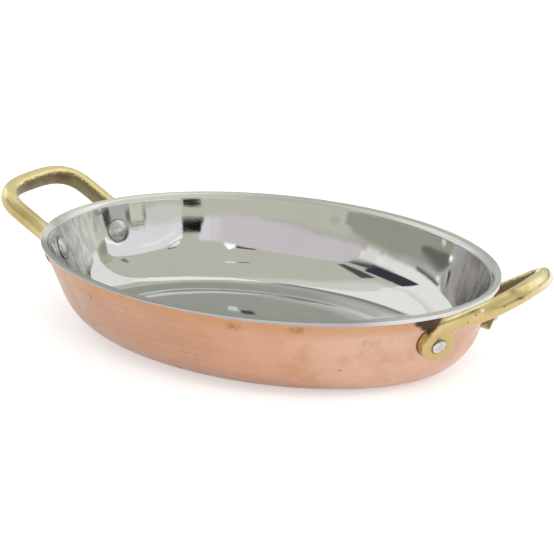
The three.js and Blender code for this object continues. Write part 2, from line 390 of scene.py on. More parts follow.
def copper_material():
    """Satin copper: fine lines from spinning, stains and a few scratches, with painted shade: darker and
    browner towards the left end, under the lip, low on the wall, along the bottom edge and round the lugs.
    """
    m = Metal("copper")
    here = m.here()
    along, _, height = m.split(here)
    slow = m.cloud(here, 22, 2)
    mottle = m.cloud(here, 95, 4, 0.6, 0.4)
    fine = m.cloud(here, 900, 2, 0.6)
    lines = m.cloud(m.round_the_oval(5, 420), 1, 3, 0.65)
    streaks = m.cloud(m.round_the_oval(2.2, 55), 1, 3, 0.55)
    # Painted shade: darker and browner towards the left end, lighter towards the right end where the light
    # falls.
    left_right_shade = m.plus(along, m.ramp(slow, 0.3, 0.7, -0.016, 0.016))
    m.colour = m.blend(m.ramp(left_right_shade, -0.05, -0.018), (0.475, 0.3, 0.208), (0.505, 0.28, 0.181))
    m.paint(m.ramp(left_right_shade, 0.008, 0.048), (0.6, 0.345, 0.23))
    m.paint(m.ramp(left_right_shade, 0.05, 0.086), (0.665, 0.44, 0.325))
    m.paint(m.ramp(mottle, 0.45, 0.75, 0, 0.5), (0.5, 0.27, 0.165))
    m.paint(m.ramp(streaks, 0.42, 0.7, 0, 0.2), (0.68, 0.44, 0.32))
    m.paint(m.ramp(fine, 0.3, 0.7, 0, 0.12), (0.5, 0.28, 0.19))
    # Painted shade: a darker band just under the lip.
    under_lip_shade = m.ramp(m.plus(height, m.ramp(slow, 0.3, 0.7, -0.0012, 0.0012)), 0.0255, 0.0305)
    m.paint(m.times(under_lip_shade, 0.7), (0.53, 0.28, 0.14))
    # Painted shade: darker low on the wall, most towards the left end, and a darker strip along the bottom
    # edge.
    low = m.times(m.ramp(height, 0.0105, 0.001), m.ramp(along, 0.068, 0.028, 0.15, 0.85))
    m.paint(low, (0.36, 0.185, 0.12))
    m.paint(m.ramp(height, 0.0022, 0.0003, 0, 0.6), (0.3, 0.16, 0.11))
    stains = m.spots([
        (0.55, 0, (29.1, -58.1, 28.3), (4.2, 4, 2.6)),
        (0.5, 0, (49.9, -51.1, 29.2), (5.5, 5, 2.6)),
        (0.5, 0, (-16, -59.5, 25.7), (2.2, 4, 1)),
        (0.6, 0, (5.8, -56.2, 14.2), (2.4, 4, 1.2), (0, 25, 0)),
        (0.45, 0, (11.5, -55.4, 13.2), (1.6, 4, 0.8), (0, 15, 0)),
        (0.28, 0, (68, -36, 24), (5, 5, 2.4)),
        (0.25, 0, (-60, -41, 10), (7, 6, 3)),
        (0.35, 0, (20, 55, 20), (9, 8, 3.5)),
        (0.35, 0, (-40, 50, 12), (5, 6, 2.5)),
    ])
    ragged = m.times(stains, m.ramp(m.cloud(here, 520, 4), 0.42, 0.6, 0.25, 1.3))
    m.paint(ragged, (0.27, 0.13, 0.065))
    m.paint(m.times(m.dots(85, 0.075, 0.03, 0, 0.8, 0.86), 0.55), (0.28, 0.15, 0.1))
    # Painted shade: near-black rings round the lugs and dark spots in the gap between the lip and the arms.
    painted_shade_spots = rivet_spots(1, 0.92, 0.2, 6.95)
    for x, y, z in ((82.2, 23.4, 30.2), (84.4, 20.2, 31), (81.6, 20.6, 28.4)):
        painted_shade_spots += [(1, 0.6, (x * sign_x, y * sign_y, z), (4.4, 4.2, 2.6)) for sign_x, sign_y in CORNERS]
    m.paint(m.times(m.spots(painted_shade_spots), 0.92), (0.035, 0.022, 0.015))
    cut = m.spots([
        (1, 0.35, (-35.1, -55.2, 25.3), (0.5, 3, 1.9), (0, 8, 0)),
        (1, 0.35, (-1.3, -49.7, 4.8), (1.9, 3, 0.55), (0, -6, 0)),
    ])
    m.paint(m.times(cut, 0.8), (0.16, 0.085, 0.06))
    scratch = m.spots([
        (0.6, 0.2, (19, -49, 6.3), (16, 5, 0.28), (0, 4.6, 14.4)),
        (0.5, 0.2, (-45, -47, 18), (9, 5, 0.2), (0, -12, -30)),
        (0.5, 0.2, (45, -52, 21), (7, 5, 0.2), (0, 18, 25)),
        (0.6, 0.2, (-15, 58, 19), (11, 5, 0.22), (0, 10, 0)),
    ])
    m.paint(m.times(scratch, 0.6), (0.88, 0.66, 0.54))
    rough = m.plus(m.ramp(mottle, 0.3, 0.7, 0.27, 0.37), m.ramp(lines, 0.3, 0.7, -0.03, 0.04))
    rough = m.plus(rough, m.times(ragged, 0.15))
    normal = m.bump(m.cloud(here, 60, 2), 0.00035)
    normal = m.bump(lines, 0.000018, normal)
    normal = m.bump(fine, 0.00001, normal)
    cut_height = m.times(m.plus(cut, scratch), -1)
    return m.finished(rough, m.bump(cut_height, 0.00006, normal))


def lining_material():
    """Mirror-polished steel: faint lines round the oval, smears, painted shade round the rivet heads, a few
    dark spots at the left end, and a lip painted lighter at the left end and darker on the near side as
    painted light and shade.
    """
    m = Metal("polished_steel")
    here = m.here()
    smear = m.cloud(here, 38, 4, 0.55, 0.6)
    lines = m.cloud(m.round_the_oval(4, 700), 1, 3, 0.7)
    fine = m.cloud(here, 1400, 2)
    m.colour = m.blend(m.ramp(smear, 0.4, 0.7), (0.635, 0.64, 0.655), (0.605, 0.61, 0.62))
    m.paint(m.ramp(lines, 0.55, 0.75, 0, 0.18), (0.52, 0.52, 0.53))
    # Painted shade in dark rings round the rivet heads, and three dark spots high on the left end.
    rings = rivet_spots(0.8, 0.86, -WALL_DEPTH - 0.3, 4.95)
    rings += [
        (0.7, 0, (-84.4, 9.4, 29.6), (3.4, 3.6, 1.1)),
        (0.55, 0, (-82.4, 13.2, 27.2), (2, 1.6, 2.8)),
        (0.4, 0, (-83.6, -9, 28.4), (2.2, 2.6, 1.6)),
    ]
    uprights = m.cloud(m.stretched(here, (420, 420, 35)), 1, 4, 0.65)
    streak = m.ramp(uprights, 0.36, 0.64)
    x, y, z = m.split(here)
    left_edge = m.maths("SUBTRACT", z, m.times(y, 0.55))
    left_scuff = m.spot((-84.5, -4, 21), (12, 16.5, 19), soft_edge=0.7)
    left_scuff = m.times(left_scuff, m.ramp(left_edge, 0.0153, 0.0162))
    right_scuff = m.spot((65, 34, 24), (20, 19, 15), soft_edge=0.6)
    m.paint(left_scuff, m.blend(streak, (0.6, 0.6, 0.595), (0.87, 0.87, 0.86)))
    m.paint(right_scuff, m.blend(streak, (0.36, 0.345, 0.335), (0.5, 0.48, 0.47)))
    dirt_and_shade = m.times(m.spots(rings), m.ramp(m.cloud(here, 700, 3), 0.3, 0.6, 0.45, 1))
    m.paint(dirt_and_shade, (0.17, 0.15, 0.12))
    out = m.length(m.stretched(here, (1000 / HALF_LENGTH, 1000 / HALF_WIDTH, 0)))
    rim_edge = m.times(m.ramp(out, 0.972, 0.986), m.ramp(z, 0.0295, 0.0305))
    lip = m.maths("MAXIMUM", m.ramp(z, 0.0308, 0.032), rim_edge)
    # Painted light and shade on the lip: lighter at the left end, darker on the near side, and a painted
    # highlight at the left front.
    near_lip_shade = m.times(m.ramp(y, 0.005, -0.03), m.ramp(x, 0.08, 0.066))
    dull = m.ramp(m.cloud(m.round_the_oval(3, 1600), 1, 3, 0.7), 0.35, 0.7, 0.8, 1)
    lip_light_and_shade = m.blend(m.ramp(x, -0.03, -0.075), (0.6, 0.6, 0.61), (0.86, 0.855, 0.875))
    lip_light_and_shade = m.blend(near_lip_shade, lip_light_and_shade, (0.345, 0.345, 0.355))
    lip_light_and_shade = m.blend(m.spot((-82, -26, 33), (16, 14, 9), soft_edge=0.3), lip_light_and_shade, (0.93, 0.92, 0.97))
    m.paint(m.times(lip, dull), lip_light_and_shade)
    rough = m.plus(m.ramp(smear, 0.35, 0.7, 0.022, 0.055), m.ramp(lines, 0.4, 0.8, 0, 0.015))
    rough = m.plus(rough, m.times(left_scuff, m.ramp(uprights, 0.3, 0.6, 0.2, 0.3)))
    rough = m.plus(rough, m.times(right_scuff, m.ramp(uprights, 0.3, 0.6, 0.2, 0.32)))
    rough = m.plus(rough, m.plus(m.times(lip, 0.17), m.times(dirt_and_shade, 0.2)))
    return m.finished(rough, m.bump(fine, 0.0000006, m.bump(lines, 0.0000016)))


def brass_material():
    """Cast brass, tumbled bright: faces painted lighter upward and darker downward, and the loops' inner
    faces painted darker, as painted light and shade; pits, dull streaks, painted shade in the corners and
    round the rivet tails, some dark spots and two painted highlights.
    """
    m = Metal("cast_brass")
    here = m.here()
    slow = m.cloud(here, 70, 3, 0.5, 0.3)
    mottle = m.cloud(here, 260, 4, 0.62, 0.5)
    skin = m.cloud(here, 1100, 3, 0.6)
    streaks = m.cloud(m.stretched(here, (160, 420, 420)), 1, 4, 0.6, 0.3)
    # Painted light: faces that look up are painted lighter, faces that look down darker.
    lit_from_above = m.ramp(m.plus(m.split(m.square())[2], m.ramp(slow, 0.3, 0.7, -0.25, 0.25)), -0.15, 0.75)
    m.colour = m.blend(lit_from_above, (0.575, 0.455, 0.215), (0.9, 0.755, 0.43))
    m.paint(m.ramp(mottle, 0.5, 0.75, 0, 0.35), (0.62, 0.45, 0.15))
    m.paint(m.ramp(streaks, 0.6, 0.76, 0, 0.45), (0.46, 0.34, 0.12))
    tarnish = rivet_spots(0.34, 0.8, LUG_FACE, 7.2)
    tarnish += [(0.2, 0, (107, -17, 40), (7, 6, 7)), (0.35, 0.2, (109.5, -8.5, 43.5), (6, 9, 5))]
    m.paint(m.spots(tarnish), (0.5, 0.38, 0.15))
    m.paint(m.spots([(0.55, 0.3, (-96, -21, 34), (13, 7, 8))]), (0.37, 0.285, 0.12))
    # Painted highlight: a pale spot on the outer bend of the right loop.
    m.paint(m.spots([(0.6, 0.2, (110.5, 7, 44), (6, 13, 6))]), (0.94, 0.88, 0.6))
    # Painted shade: the faces of each loop that look into its middle are painted dark.
    grain = m.ramp(m.cloud(here, 900, 3, 0.65), 0.3, 0.7, -0.16, 0.16)
    inner_side_shade = m.ramp(m.plus(inside_of_loop(m), grain), 0.38, 0.74)
    m.paint(m.times(inner_side_shade, 0.86), (0.155, 0.125, 0.075))
    pit = m.dots(330, 0.2, 0.07, 1, 0.72, 0.78)
    # Painted shade round the rivet tails, on the left front lug and where the arms meet the lugs; the other
    # spots are dark spots on the loops, and pits are added after.
    shade_and_marks = rivet_spots(0.75, 0.72, LUG_FACE, 3.5)
    shade_and_marks += [
        (0.8, 0.5, (-82.5, -23.5, 22.5), (6, 6, 7)),
        (0.85, 0.2, (111.3, -10.6, 40.6), (2.6, 3.6, 0.75), (0, 0, 20)),
        (0.55, 0.1, (109.3, -12, 42.9), (2.8, 3.2, 1.2), (0, 0, 30)),
        (0.75, 0.2, (108.8, -16.5, 39.1), (0.8, 0.8, 0.6)),
        (0.8, 0.1, (-104.6, -19.9, 38.7), (4.6, 1.8, 1.5), (0, 26, -30)),
    ]
    shade_and_marks += [(0.4, 0, (90.6 * x, 18.9 * y, 33), (3, 3.4, 2.2)) for x, y in CORNERS]
    dirt_and_shade = m.times(m.spots(shade_and_marks), m.ramp(mottle, 0.3, 0.6, 0.6, 1))
    dirt_and_shade = m.maths("MAXIMUM", dirt_and_shade, m.times(pit, 0.6))
    m.paint(dirt_and_shade, (0.14, 0.105, 0.05))
    # Painted glint: a near-white spot on the right loop.
    m.paint(m.spot((103.1, -20.8, 37.8), (0.9, 1.2, 0.9), soft_edge=0.4), (0.98, 0.97, 0.88))
    rough = m.plus(m.ramp(mottle, 0.3, 0.7, 0.2, 0.34), m.times(dirt_and_shade, 0.2))
    rough = m.plus(rough, m.ramp(streaks, 0.5, 0.75, 0, 0.12))
    rough = m.plus(rough, m.times(inner_side_shade, 0.18))
    normal = m.bump(m.cloud(here, 90, 2, 0.5), 0.00018)
    normal = m.bump(skin, 0.000018, normal)
    normal = m.bump(streaks, 0.00002, normal)
    return m.finished(rough, m.bump(pit, -0.00012, normal))


def rivet_material():
    """Dull steel: heads smoothed by wear inside the pan, tails rough from the hammer."""
    m = Metal("rivet_steel")
    here = m.here()
    mottle = m.cloud(here, 520, 4, 0.6, 0.4)
    scuff = m.cloud(m.stretched(here, (2600, 700, 500)), 1, 3, 0.6)
    m.colour = m.blend(m.ramp(mottle, 0.35, 0.65), (0.66, 0.665, 0.675), (0.5, 0.495, 0.48))
    m.paint(m.ramp(scuff, 0.6, 0.72, 0, 0.45), (0.34, 0.33, 0.31))
    rough = m.plus(m.ramp(mottle, 0.3, 0.7, 0.16, 0.32), m.ramp(scuff, 0.5, 0.75, 0, 0.1))
    return m.finished(rough, m.bump(scuff, 0.00002, m.bump(mottle, 0.00006)))


MATERIALS = {"copper": copper_material(), "lining": lining_material(), "brass": brass_material(),
             "rivet": rivet_material()}


# Copper shell

def lip_lift(place):
    """The lip is rolled a little deeper on one side than on the other."""
    return 0.5 * math.cos(place - math.radians(205)) + 0.12 * math.sin(3 * place + 0.6)


def lifted(place, inset, height):
    """A point of the leaning wall that follows the lip up or down."""
    return inset - lip_lift(place) * math.tan(LEAN), height + lip_lift(place)


def shell_varies(place, k, inset, height):
    return lifted(place, inset, height) if k in shell_tops else (inset, height)


def clamped(value):
    return min(max(value, 0), 1)


def level(v):
    return Vector((v.x, v.y, 0)).normalized()


def waves(v, across, up, shift=0):
    """Smooth noise from -1 to 1, with its own scales across the pan and up."""
    return noise.noise(Vector((v.x * across, v.y * across, v.z * up + shift)))


def shell_dents(v, ring):
    """Shallow unevenness left by planishing."""
    if v.z < 0.6:
        return Vector()
    return level(v) * min(v.z / 6, 1) * (waves(v, 0.06, 0.08) * 0.07 + waves(v, 0.2, 0.25, 7) * 0.018 - 0.05)


shell_top = LIP_UNDER - 0.02
shell_line = body_line(0, shell_top)
shell_tops = {len(shell_line) - 1, len(shell_line)}
shell_line += body_line(COPPER_WALL, shell_top)[::-1]
finish_piece(
    oval_mesh("copper_body", shell_line, vary=shell_varies, shift=shell_dents),
    "copper_body", "copper_shell", "copper", BEND_SHARP,
)


# Steel lining with the lip

EDGE_ROUND = 0.6

# Lean of the inner wall by height, in degrees above its least lean: it eases out of the sweep
# below and turns out a little before the lip
WALL_EASE = ((12, 6.6), (14, 5.2), (16.5, 3.6), (19, 2.3), (22, 1.5), (24.7, 0.9), (26.4, 0.1),
             (28.3, 0.9), (31.3, 2.9), (34, 4.7))


EASE_SAMPLES = range(-3, 4)
EASE_STEP = 0.3


def wall_ease(height):
    """The lean from the table, as the mean of samples a little below and above the height."""
    total = 0
    for k in EASE_SAMPLES:
        h = height + k * EASE_STEP
        for (low, a), (high, b) in zip(WALL_EASE, WALL_EASE[1:]):
            if h <= high or high == WALL_EASE[-1][0]:
                total += a + (b - a) * (h - low) / (high - low)
                break
    return math.radians(total / len(EASE_SAMPLES))


STEEP_PUSH = 0.23
STEEP_START = 26.4
LINING_FLOOR_RINGS = 24
WALL_END = 31.4

flare_height = RIM_HEIGHT - LIP_FLARE
flare_middle = (wall_inset(flare_height, WALL_DEPTH) - LIP_FLARE / math.cos(LEAN), flare_height)


def inner_line(least, sweep_steps=36, wall_steps=44):
    """Section of the inside from the floor to the flare, for a least lean of the wall."""
    radius = SWEEP - WALL_DEPTH
    low = least + wall_ease(SWEEP - radius * math.sin(least + math.radians(5.5)))
    line = arc((SWEEP_INSET, SWEEP), -radius, math.pi / 2, low, sweep_steps)
    inset, start = line[-1]
    top = flare_height + LIP_FLARE * math.sin(least + wall_ease(WALL_END))
    step = (top - start) / wall_steps
    for i in range(wall_steps):
        inset -= step * math.tan(least + wall_ease(start + step * (i + 0.5)))
        line.append((inset, start + step * (i + 1)))
    return line


def fitted_inner_line():
    """The least lean that makes the wall end where the flare begins."""
    low, high = math.radians(14), math.radians(24)
    for _ in range(40):
        least = (low + high) / 2
        end = least + wall_ease(WALL_END)
        if inner_line(least)[-1][0] > flare_middle[0] + LIP_FLARE * math.cos(end):
            low = least
        else:
            high = least
    return inner_line(least), end


inside, flare_end = fitted_inner_line()
lining_line = body_line(COPPER_WALL + 0.02, LIP_UNDER)
lip_first = len(lining_line) - 1
lining_line += [(0.12, LIP_UNDER), (0.03, LIP_UNDER + 0.04), (0, LIP_UNDER + 0.12)]
lip_last = len(lining_line) - 1
lining_line += arc((EDGE_ROUND, RIM_HEIGHT - EDGE_ROUND), EDGE_ROUND, math.pi, math.pi / 2, 8)
lining_line += arc(flare_middle, LIP_FLARE, math.pi / 2, flare_end, 16)
inside_first = len(lining_line)
lining_line += inside[:-1][::-1]


def lip_varies(place, k, inset, height):
    if k == lip_first:
        return lifted(place, inset, height)
    if lip_first < k <= lip_last:
        return inset, height + lip_lift(place)
    return inset, height


def eased(value, low, high):
    share = clamped((value - low) / (high - low))
    return share * share * (3 - 2 * share)


def steep_push(v):
    """The far wall and the left end get steeper up to the lip."""
    place = math.degrees(math.atan2(v.y / HALF_WIDTH, v.x / HALF_LENGTH)) % 360
    share = eased(place, 2, 24) * (1 - eased(place, 186, 206))
    climb = clamped((v.z - STEEP_START) / (WALL_END - STEEP_START))
    return -STEEP_PUSH * share * climb ** 2 * (1 - eased(v.z, WALL_END, WALL_END + 1))


FLOOR_DOME = 0.3


def floor_dome(v):
    """The floor is spun very slightly domed."""
    share = Vector((v.x / (HALF_LENGTH - SWEEP_INSET), v.y / (HALF_WIDTH - SWEEP_INSET))).length
    return FLOOR_DOME * (1 - eased(share, 0, 1.15))


def lining_waves(v, ring):
    """Slow waves that bend the reflections a little, as in spun and polished sheet."""
    k = ring + 1 - LINING_FLOOR_RINGS
    if k < inside_first:
        return level(v) * steep_push(v) if k >= lip_last else Vector()
    wave = waves(v, 0.045, 0.06, 3) * 0.05 + waves(v, 0.13, 0.13, 9) * 0.012
    rise = clamped((v.z - 2.5) / 10)
    flat = level(v) if v.xy.length > 1 else Vector()
    fade = clamped((flare_height - v.z) / 3)
    up = Vector((0, 0, 1 - rise))
    return (flat * rise * fade + up) * wave + flat * steep_push(v) + up * floor_dome(v)


finish_piece(
    oval_mesh("lining_body", lining_line, LINING_FLOOR_RINGS, lip_varies, lining_waves),
    "lining_body", "steel_lining", "lining", BEND_SHARP,
)


def lathe(name, profile, steps, wobble=None):
    """Solid of revolution about Y through (radius, height) points, the first and last on the axis."""
    verts = [(0, profile[0][1], 0)]
    for radius, height in profile[1:-1]:
        for j in range(steps):
            turn = math.tau * j / steps
            verts.append((radius * math.cos(turn), height, radius * math.sin(turn)))
    verts.append((0, profile[-1][1], 0))
    if wobble:
        verts = [wobble(Vector(v)) for v in verts]
    faces = []
    rings = len(profile) - 2
    for j in range(steps):
        n = (j + 1) % steps
        faces.append((0, 1 + j, 1 + n))
        faces.append((len(verts) - 1, 1 + (rings - 1) * steps + n, 1 + (rings - 1) * steps + j))
        for k in range(rings - 1):
            a, b = 1 + k * steps, 1 + (k + 1) * steps
            faces.append((a + j, b + j, b + n, a + n))
    return new_mesh(name, verts, faces)


# Cast handles

HALF_TURN = {"right": Matrix.Identity(4), "left": Matrix.Rotation(math.pi, 4, "Z")}
VOXEL = 0.4
ARM_TRIM = 1.4
ARM_GAP = 0.12
LIP_GAP = 0.15
LUG_SINK = 4
LUG_EDGE = 0.6
BEND_STEPS = 240
NECK_START = 6
NECK_BEND = 0.4
NECK_WIDTH = 0.72
NECK_DEPTH = 1.5


def soft(value, squareness):
    return math.copysign(abs(value) ** (2 / squareness), value)


def loop_plan(side, steps):
    """Points evenly along the loop as seen from above: one arm, the bend and the other arm."""
    squareness = MOUNTS[side]["squareness"]
    half_spread = ARM_SPREAD / 2 + MOUNTS[side]["spread"]
    line = [Vector((ARM_START + ARM_TRIM, -half_spread))]
    for i in range(BEND_STEPS + 1):
        angle = -math.pi / 2 + math.pi * i / BEND_STEPS
        out = BEND_REACH * soft(math.cos(angle), squareness)
        across = half_spread * soft(math.sin(angle), squareness)
        line.append(Vector((BAR_REACH - BEND_REACH + out, across)))
    line.append(Vector((ARM_START + ARM_TRIM, half_spread)))
    travel = travelled(line)
    points = []
    k = 0
    for i in range(steps + 1):
        want = travel[-1] * i / steps
        while k < len(line) - 2 and travel[k + 1] < want:
            k += 1
        share = (want - travel[k]) / max(travel[k + 1] - travel[k], 1e-9)
        points.append(line[k].lerp(line[k + 1], min(share, 1)))
    return points


def mounting(side):
    """Turn and shift of a loop about the middle of its roots, in the frame of the right handle."""
    mount = MOUNTS[side]
    pivot = Matrix.Translation((ARM_START, 0, ARM_LOW))
    turn = Matrix.Rotation(math.radians(mount["yaw"]), 4, "Z")
    turn = turn @ Matrix.Rotation(math.radians(mount["roll"]), 4, "X")
    turn = turn @ Matrix.Rotation(-math.radians(mount["tilt"]), 4, "Y")
    return Matrix.Translation(mount["shift"]) @ pivot @ turn @ pivot.inverted()


def bar_ring(middle, side, up, width, depth, sides):
    """Rounded section of a bar, as points round its middle."""
    ring = []
    for j in range(sides):
        a = math.tau * j / sides
        across = side * width * soft(math.cos(a), BAR_SQUARENESS)
        ring.append(middle + (across + up * depth * soft(math.sin(a), BAR_SQUARENESS)))
    return ring


def tube_faces(steps, sides):
    """Faces between the rings of a tube, and its two ends."""
    faces = []
    for i in range(steps):
        for j in range(sides):
            n = (j + 1) % sides
            faces.append((i * sides + j, i * sides + n, (i + 1) * sides + n, (i + 1) * sides + j))
    return faces + [tuple(range(sides))[::-1], tuple(range(steps * sides, (steps + 1) * sides))]


def bar_mesh(side_name, steps=150, sides=32):
    """Bar of one handle, turned by its mounting."""
    mount = mounting(side_name)
    at_root, at_bar = MOUNTS[side_name]["swell"]
    plan = loop_plan(side_name, steps)
    verts = []
    for i, (x, y) in enumerate(plan):
        before, after = plan[max(i - 1, 0)], plan[min(i + 1, steps)]
        step = after[0] - before[0]
        share = (x - ARM_START) / (BAR_REACH - ARM_START)
        middle = Vector((x, y, ARM_LOW + (BAR_HIGH - ARM_LOW) * share))
        run = Vector((step, after[1] - before[1], step * LOOP_SLOPE)).normalized()
        side = Vector((-LOOP_SLOPE, 0, 1)).cross(run).normalized()
        up = run.cross(side)
        slim = at_root + (at_bar - at_root) * min(share * 1.4, 1)
        slim *= min(1, 0.62 + 0.2 * min(i, steps - i))
        width = (ARM_WIDTH + (BAR_WIDTH - ARM_WIDTH) * share) / 2 * slim
        depth = (ARM_DEPTH + (BAR_DEPTH - ARM_DEPTH) * share) / 2 * slim
        verts += [HALF_TURN[side_name] @ (mount @ v) for v in bar_ring(middle, side, up, width, depth, sides)]
    return verts, tube_faces(steps, sides)


def neck_mesh(side_name, rivet, steps=16, sides=28):
    """Where an arm runs down into its lug: it gets wider and flatter until it lies in the lug."""
    along_x, along_y = rivet["along"]
    frame_of_arm = HALF_TURN[side_name] @ mounting(side_name)
    across = along_x * along_y * (ARM_SPREAD / 2 + MOUNTS[side_name]["spread"])
    start, bend = (
        frame_of_arm @ Vector((ARM_START + out, across, ARM_LOW + LOOP_SLOPE * out))
        for out in (NECK_START, NECK_BEND)
    )
    lug = rivet_frame(rivet)
    end = lug @ Vector((0, LUG_FACE - NECK_DEPTH - 0.1, 0))
    arm_side = frame_of_arm.to_3x3() @ Vector((0, 1, 0))
    lug_side = lug.to_3x3() @ Vector((1, 0, 0))
    if arm_side.dot(lug_side) < 0:
        lug_side = -lug_side
    swell = MOUNTS[side_name]["swell"][0]
    verts = []
    for i in range(steps + 1):
        t = i / steps
        middle = start * (1 - t) ** 2 + bend * (2 * t * (1 - t)) + end * t ** 2
        run = ((bend - start) * (1 - t) + (end - bend) * t).normalized()
        up = run.cross(arm_side.lerp(lug_side, t)).normalized()
        side = up.cross(run)
        ease = eased(t, 0, 1)
        width = ARM_WIDTH / 2 * swell * (1 - ease) + NECK_WIDTH * rivet["lug"] * ease
        depth = ARM_DEPTH / 2 * swell * (1 - ease) + NECK_DEPTH * ease
        verts += bar_ring(middle, side, up, width, depth, sides)
    return verts, tube_faces(steps, sides)


def lug_mesh(radius):
    """Round lug with a soft edge; the clearance cuts off what sinks into the wall."""
    out, up = radius - LUG_EDGE, LUG_FACE - LUG_EDGE
    profile = [(0, -LUG_SINK), (radius, -LUG_SINK), (radius, up)]
    profile += [(out + LUG_EDGE * math.cos(a), up + LUG_EDGE * math.sin(a)) for a in (0.4, 0.8, 1.2)]
    profile += [(out, LUG_FACE), (0, LUG_FACE)]
    return lathe("lug", profile, 64)


def joined(parts):
    verts, faces = [], []
    for part_verts, part_faces in parts:
        base = len(verts)
        verts += part_verts
        faces += [tuple(base + i for i in face) for face in part_faces]
    return new_mesh("joined", verts, faces)


def placed(mesh, matrix):
    return [matrix @ v.co for v in mesh.vertices], [tuple(p.vertices) for p in mesh.polygons]


clearance_line = body_line(-ARM_GAP, LIP_UNDER - ARM_GAP)
clearance_line += [(-LIP_GAP, LIP_UNDER - ARM_GAP), (-LIP_GAP, RIM_HEIGHT + 20)]
clearance = linked("clearance", oval_mesh("clearance", clearance_line, 3))


def handle_mesh(side):
    parts = [bar_mesh(side)]
    for key, rivet in RIVETS.items():
        if key.startswith(side):
            parts.append(placed(lug_mesh(rivet["lug"]), rivet_frame(rivet)))
            parts.append(neck_mesh(side, rivet))
    mesh = baked(joined(parts), "REMESH", mode="VOXEL", voxel_size=VOXEL)
    mesh = baked(mesh, "SMOOTH", factor=0.5, iterations=6)
    return baked(mesh, "BOOLEAN", operation="DIFFERENCE", solver="EXACT", object=clearance)


for side in ("right", "left"):
    loop = finish_piece(handle_mesh(side), "loop_" + side, "handle_" + side, "brass")
    loop.visible_glossy = False
bpy.data.objects.remove(clearance)


# Rivets

HEAD_GAP = 0.25
HEAD_EDGE = 0.12
TAIL_GAP = 0.02
TAIL_EDGE = 0.25


def rivet_profile():
    """Low domed head inside the pan, shank, and the flattened tail on the lug."""
    seat = -WALL_DEPTH - HEAD_GAP
    ball = (HEAD_RADIUS ** 2 + HEAD_RISE ** 2) / (2 * HEAD_RISE)
    reach = math.asin(HEAD_RADIUS / ball)
    line = arc((0, seat - HEAD_RISE + ball), ball, -math.pi / 2, reach - math.pi / 2, 12)
    line += [(HEAD_RADIUS - HEAD_EDGE, seat + HEAD_EDGE), (SHANK_RADIUS, seat + HEAD_EDGE)]
    line += [(SHANK_RADIUS, LUG_FACE + TAIL_GAP), (TAIL_RADIUS - 0.08, LUG_FACE + TAIL_GAP)]
    for i in range(9):
        angle = math.pi / 2 * i / 8
        rise = LUG_FACE + TAIL_EDGE + (TAIL_RISE - TAIL_EDGE) * math.sin(angle)
        line.append((TAIL_RADIUS * math.cos(angle), rise))
    return line


def hammered(seed):
    """The hammer leaves the tail a little flat and uneven; the head stays round."""
    def wobble(v):
        if v.y < LUG_FACE:
            return v
        dent = noise.noise(Vector((v.x * 0.9 + seed, v.z * 0.9, seed * 3.1))) * 0.22
        flat = min(v.y, LUG_FACE + 0.86 * TAIL_RISE + 0.1 * dent)
        return Vector((v.x * (1 + 0.25 * dent), flat + 0.1 * dent, v.z * (1 - 0.2 * dent)))
    return wobble


for seed, (name, rivet) in enumerate(RIVETS.items()):
    pin = lathe("pin", rivet_profile(), 48, hammered(seed + 1.7))
    pin.transform(rivet_frame(rivet))
    finish_piece(pin, "pin_" + name, "rivet_" + name, "rivet", RIVET_SHARP)


# Floor, light and camera

WHITE = (1, 1, 1, 1)
PAPER = (0.86, 0.86, 0.86, 1)
SOFT_LIGHT = 0.78
EDGE_STEP = 3
GRID_STEP = 4


def seen_directly(m):
    """1 for what the camera sees directly, in a reflection or through something, else 0."""
    path = m.add("LightPath").outputs
    share = m.maths("MAXIMUM", path["Is Camera Ray"], path["Is Transmission Ray"])
    return m.maths("MAXIMUM", share, path["Is Glossy Ray"])


def emptied(owner):
    m = Nodes(owner)
    m.tree.nodes.clear()
    return m


def studio():
    world = bpy.data.worlds.new("studio")
    bpy.context.scene.world = world
    m = emptied(world)
    soft, white = (m.add("Background", {"Color": WHITE, "Strength": v}).outputs[0] for v in (SOFT_LIGHT, 1))
    mix = m.add("MixShader", {0: seen_directly(m), 1: soft, 2: white})
    m.add("OutputWorld", {"Surface": mix.outputs[0]})


def floor():
    bpy.ops.mesh.primitive_plane_add(size=8, location=(0, 0, -0.0002))
    plane = bpy.context.object
    plane.name = "floor"
    material = bpy.data.materials.new("floor")
    m = emptied(material)
    paper = m.add("BsdfDiffuse", {"Color": PAPER})
    glow = m.add("Emission", {"Color": WHITE, "Strength": m.times(seen_directly(m), 0.5)})
    both = m.add("AddShader", {0: paper.outputs[0], 1: glow.outputs[0]})
    m.add("OutputMaterial", {"Surface": both.outputs[0]})
    plane.data.materials.append(material)


def towards(azimuth, elevation, reach):
    a, e = math.radians(azimuth), math.radians(elevation)
    return (reach * math.cos(e) * math.cos(a), reach * math.cos(e) * math.sin(a), reach * math.sin(e))


def card_object(name, verts, faces, clear_points, colour):
    """Glowing card that is clear at its first points and full at all others."""
    mesh = new_mesh(name, verts, faces)
    layer = mesh.attributes.new("shade", "FLOAT", "POINT")
    layer.data.foreach_set("value", [0] * clear_points + [1] * (len(verts) - clear_points))
    material = bpy.data.materials.new(name)
    material.cycles.emission_sampling = "NONE"
    m = emptied(material)
    shade = m.add("Attribute", attribute_name="shade").outputs["Fac"]
    clear = m.add("BsdfTransparent").outputs[0]
    glow = m.add("Emission", {"Color": (*colour, 1), "Strength": 1}).outputs[0]
    mix = m.add("MixShader", {0: shade, 1: clear, 2: glow})
    m.add("OutputMaterial", {"Surface": mix.outputs[0]})
    mesh.materials.append(material)
    made = linked(name, mesh)
    made.visible_camera = made.visible_diffuse = made.visible_transmission = False
    made.visible_volume_scatter = made.visible_shadow = False


